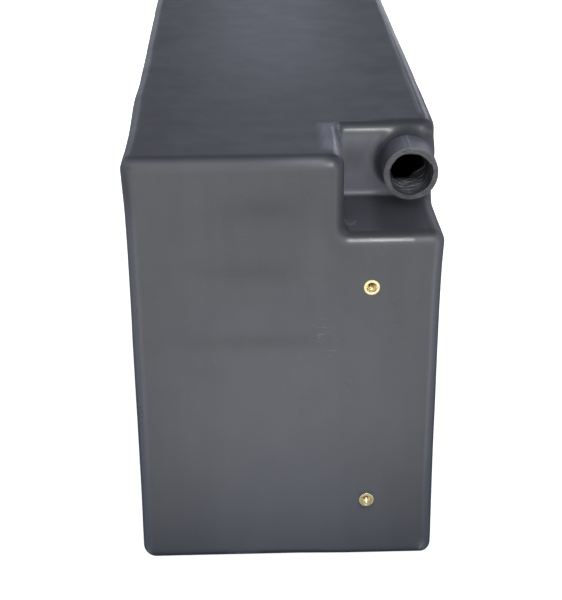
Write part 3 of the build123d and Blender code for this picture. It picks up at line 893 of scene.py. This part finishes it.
fitting_plastic = plain_look("fitting_plastic", (0.022, 0.022, 0.023), 0.42)
dress(fitting_plastic, "outlet_fitting", "drain_fitting", "vent_fitting")
dress(plain_look("nylon", (0.62, 0.60, 0.53), 0.38, shift=0.06), "outlet_barb", "vent_elbow")
dress(plain_look("screen_steel", (0.50, 0.50, 0.50), 0.30, 1.0), "vent_screen")
valve_brass = brass("valve_brass", (0.72, 0.55, 0.26), 0.34)
dress(valve_brass, "valve_body", "valve_end_piece", "valve_stem", "gland_nut")
dress(plain_look("ptfe", (0.80, 0.80, 0.78), 0.45, shift=0.04), "seat_inner", "seat_outer", "stem_packing")
dress(plain_look("ball_chrome", (0.62, 0.62, 0.63), 0.12, 1.0, shift=0.04), "valve_ball")
dress(plain_look("lever_steel", (0.48, 0.48, 0.49), 0.34, 1.0, shift=0.10), "valve_lever", "lever_nut")
dress(plain_look("grip_vinyl", (0.42, 0.020, 0.016), 0.40), "lever_grip")

# ---------------------------------------------------------------- stage


def add_light(name, place, target, size, power):
    """A rectangular soft box that faces its target."""
    data = bpy.data.lights.new(name, "AREA")
    data.shape = "RECTANGLE"
    data.size, data.size_y = size
    data.energy = power
    light = bpy.data.objects.new(name, data)
    light.location = place
    light.rotation_euler = (Vector(target) - Vector(place)).to_track_quat("-Z", "Y").to_euler()
    light.visible_camera = False
    bpy.context.scene.collection.objects.link(light)
    return light


def stage_mesh(name, vertices, faces, colour, roughness, glow):
    """A piece of the stage, in a plain material that can give off white light."""
    mesh = bpy.data.meshes.new(name)
    mesh.from_pydata(vertices, [], faces)
    material = bpy.data.materials.new(name)
    material.use_nodes = True
    shader = material.node_tree.nodes["Principled BSDF"]
    shader.inputs["Base Color"].default_value = (*colour, 1)
    shader.inputs["Roughness"].default_value = roughness
    shader.inputs["Emission Color"].default_value = (1, 1, 1, 1)
    shader.inputs["Emission Strength"].default_value = glow
    mesh.materials.append(material)
    piece = bpy.data.objects.new(name, mesh)
    bpy.context.scene.collection.objects.link(piece)
    return piece


def add_plane(name, low, high, z, colour, glow):
    """A level rectangle of the stage."""
    corners = [(low[0], low[1], z), (high[0], low[1], z), (high[0], high[1], z), (low[0], high[1], z)]
    return stage_mesh(name, corners, [(0, 1, 2, 3)], colour, 0.9, glow)


def add_backdrop(reach, height):
    """Pale walls far away, which only the camera sees."""
    ring = [(-reach, -reach), (reach, -reach), (reach, reach), (-reach, reach)]
    corners = [(a, b, z) for z in (-1, height) for a, b in ring]
    sides = [(k, (k + 1) % 4, (k + 1) % 4 + 4, k + 4) for k in range(4)]
    walls = stage_mesh("backdrop", corners, sides, (0, 0, 0), 0.5, 1.0)
    walls.visible_diffuse = walls.visible_glossy = walls.visible_shadow = walls.visible_transmission = False


def studio_world():
    """Soft light from every side: a base tone with broad brighter and darker parts of the sky."""
    world = bpy.data.worlds.new("studio")
    world.use_nodes = True
    nodes, links = world.node_tree.nodes, world.node_tree.links
    way = nodes.new("ShaderNodeTexCoord").outputs["Generated"]
    total = None
    for direction, colour, power, inner, outer in SKY:
        dot = nodes.new("ShaderNodeVectorMath")
        dot.operation = "DOT_PRODUCT"
        dot.inputs[1].default_value = Vector(direction).normalized()
        links.new(way, dot.inputs[0])
        share = nodes.new("ShaderNodeMapRange")
        share.interpolation_type = "SMOOTHSTEP"
        share.inputs["From Min"].default_value = math.cos(math.radians(outer))
        share.inputs["From Max"].default_value = math.cos(math.radians(inner))
        links.new(dot.outputs["Value"], share.inputs["Value"])
        tint = nodes.new("ShaderNodeVectorMath")
        tint.operation = "SCALE"
        tint.inputs[0].default_value = [power * part for part in colour]
        links.new(share.outputs["Result"], tint.inputs["Scale"])
        if total is None:
            total = tint.outputs["Vector"]
        else:
            add = nodes.new("ShaderNodeVectorMath")
            links.new(total, add.inputs[0])
            links.new(tint.outputs["Vector"], add.inputs[1])
            total = add.outputs["Vector"]
    base = nodes.new("ShaderNodeVectorMath")
    base.inputs[1].default_value = SKY_BASE
    links.new(total, base.inputs[0])
    links.new(base.outputs["Vector"], nodes["Background"].inputs["Color"])
    bpy.context.scene.world = world


def add_camera():
    """The camera, a little left of the tank and looking down on its filling end."""
    data = bpy.data.cameras.new("camera")
    data.sensor_width = 36
    data.lens = 82.3
    data.shift_x, data.shift_y = -0.0008, 0.0008
    camera = bpy.data.objects.new("camera", data)
    camera.location = (-0.0271, FRONT - 0.8513, 0.626)
    down, right, roll = 25.68, 1.62, 0.32
    camera.rotation_euler = Euler((math.radians(90 - down), 0, math.radians(-right)), "XYZ")
    camera.rotation_euler.rotate_axis("Z", math.radians(-roll))
    data.clip_start, data.clip_end = 0.05, 100
    bpy.context.scene.collection.objects.link(camera)
    bpy.context.scene.camera = camera


# (direction, colour, strength, full within this angle, nothing past this angle)
SKY = (
    ((0.10, -1, -0.04), (1.0, 0.995, 0.985), 1.42, 30, 74),
    ((0.0, 1, 0.20), (0.92, 0.95, 1.08), 0.42, 4, 30),
    ((0.38, 1, 0.26), (1.0, 0.93, 1.16), 0.9, 4, 13),
    ((0.9, 0.1, 0.9), (1.0, 0.93, 1.14), 0.35, 8, 26),
    ((0.15, -1, 0.8), (1.0, 0.99, 0.98), 0.40, 8, 38),
    ((-1, 0.1, 0.7), (0.95, 0.97, 1.08), 0.2, 8, 35),
    ((0, 0.3, 1), (1.0, 1.0, 1.0), -0.16, 15, 65),
)
SKY_BASE = (0.22, 0.24, 0.275)

floor = add_plane("floor", (-30, -30), (30, 30), 0, (0.8, 0.8, 0.8), 0.8)
floor.visible_diffuse = floor.visible_glossy = False
flag = add_plane("table_shade", (-0.35, FRONT - 0.11), (0.35, REAR + 0.03), -0.0005, (0.07, 0.16, 0.30), 0)
flag.visible_camera = False
add_backdrop(28, 40)
add_camera()
key = add_light("key", (0.150, FRONT - 0.60, 0.68), (0.075, FRONT, RECESS_Z), (0.12, 0.26), 2.8)
key.visible_diffuse = False
FILLS = (
    ("rear_fill", (0.35, REAR + 1.6, 0.42), (0, REAR, 0.15), 26),
    ("left_fill", (-1.8, 0.3, 0.40), (-SIDE, 0.1, 0.16), 20),
    ("right_fill", (1.6, 0.9, 0.35), (SIDE, 0.1, 0.16), 18),
)
for name, place, target, power in FILLS:
    fill = add_light(name, place, target, (1.3, 0.8), power)
    fill.visible_glossy = False
fitting_glow = add_light("fitting_glow", (0.05, REAR + 0.45, 0.16), (0, REAR, 0.09), (0.6, 0.2), 0.7)
fitting_glow.visible_diffuse = False
studio_world()
bpy.context.scene.view_settings.view_transform = "Standard"
